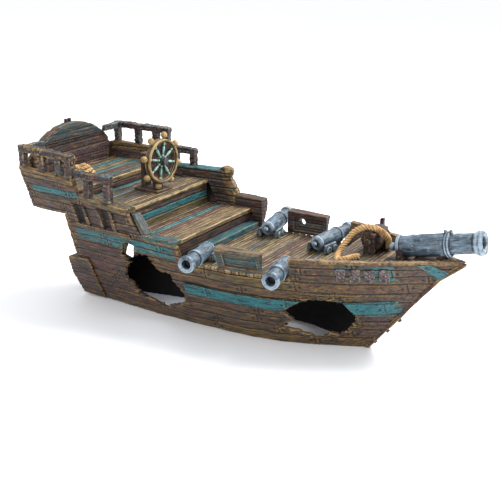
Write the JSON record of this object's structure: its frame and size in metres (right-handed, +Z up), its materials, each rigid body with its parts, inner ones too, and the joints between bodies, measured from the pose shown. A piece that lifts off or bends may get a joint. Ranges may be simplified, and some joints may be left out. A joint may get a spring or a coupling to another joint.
{
  "type": "aquarium shipwreck ornament",
  "caption": "Hollow bottomless shipwreck ornament with broken planking, stepped decks, guns, a turning wheel and an air line that bubbles through the hull.",
  "frame": {"origin": "centre of the bounding box at the plane that the hull rim stands on", "axes": "+X towards the bow, +Y to port, +Z up"},
  "size_m": [0.358, 0.1488, 0.1448],
  "materials": {
    "hull_planks": "hand-painted cast resin, weathered planks, matte",
    "dark_timber": "hand-painted cast resin, dark wet timber, matte",
    "iron": "painted black iron, satin",
    "teal_paint": "worn teal paint over brown resin, matte",
    "golden_trim": "ochre dry-brushed edges over brown resin, matte",
    "grey_timber": "grey-green weathered timber paint, matte",
    "deck_planks": "mixed tan, olive and teal planks, matte",
    "gun_paint": "blue-grey paint with white dry-brushing, matte",
    "rope_paint": "orange-gold laid rope, matte",
    "wheel_gold": "brown and gold paint, matte",
    "wheel_green": "pale verdigris paint, matte",
    "inlet_plastic": "moulded plastic, satin",
    "air_hose": "clear flexible airline, satin",
    "air_stone": "sintered mineral grains, rough"
  },
  "bodies": {
    "root": {"hull_starboard": "hull_planks", "hull_port": "hull_planks", "stern_board": "hull_planks", "stern_skeg": "hull_planks", "stem_post": "dark_timber", "stem_bolts": "iron", "wale_starboard": "teal_paint", "wale_port": "teal_paint", "counter_floor": "hull_planks", "transom_board": "dark_timber", "transom_lunette": "teal_paint", "transom_knob": "dark_timber", "transom_rails": "grey_timber", "poop_strakes": "golden_trim", "poop_rail_starboard": "golden_trim", "poop_rail_port": "grey_timber", "quarter_rail_starboard": "teal_paint", "quarter_rail_port": "grey_timber", "quarter_cap_starboard": "golden_trim", "quarter_knee_starboard": "teal_paint", "quarter_bulwark_port": "teal_paint", "lower_cap_starboard": "golden_trim", "waist_bulwark_port": "dark_timber", "gallery_starboard": "golden_trim", "gallery_port": "golden_trim", "poop_deck": "deck_planks", "poop_riser": "dark_timber", "upper_quarterdeck": "deck_planks", "upper_riser": "teal_paint", "lower_quarterdeck": "deck_planks", "lower_riser": "dark_timber", "ledge_step": "teal_paint", "main_deck": "deck_planks", "forecastle_deck": "deck_planks", "forecastle_riser": "dark_timber", "gunwale_starboard": "teal_paint", "gunwale_port": "teal_paint", "bow_caps": "golden_trim", "carved_panels": "grey_timber", "bow_plates": "teal_paint", "gun_starboard_aft": "gun_paint", "gun_starboard_fwd": "gun_paint", "gun_port_aft": "gun_paint", "gun_port_fwd": "gun_paint", "gun_carriages": "gun_paint", "bow_gun": "gun_paint", "bow_gun_chock": "dark_timber", "windlass_bitts": "dark_timber", "windlass_barrel": "dark_timber", "rope_loops": "rope_paint", "rope_heap": "rope_paint", "wheel_stand": "dark_timber", "wheel_axle": "iron", "air_inlet": "inlet_plastic", "air_tube": "air_hose", "tube_clip": "inlet_plastic", "air_stone": "air_stone"},
    "wheel": {"wheel_rim": "wheel_gold", "wheel_spokes": "wheel_green", "wheel_handles": "wheel_gold"}
  },
  "joints": [
    {"name": "wheel_turn", "type": "hinge", "parent": "root", "child": "wheel", "pos_m": [-0.084, 0, 0.1195], "axis": [0.9945, -0.1045, 0], "continuous": true}
  ]
}
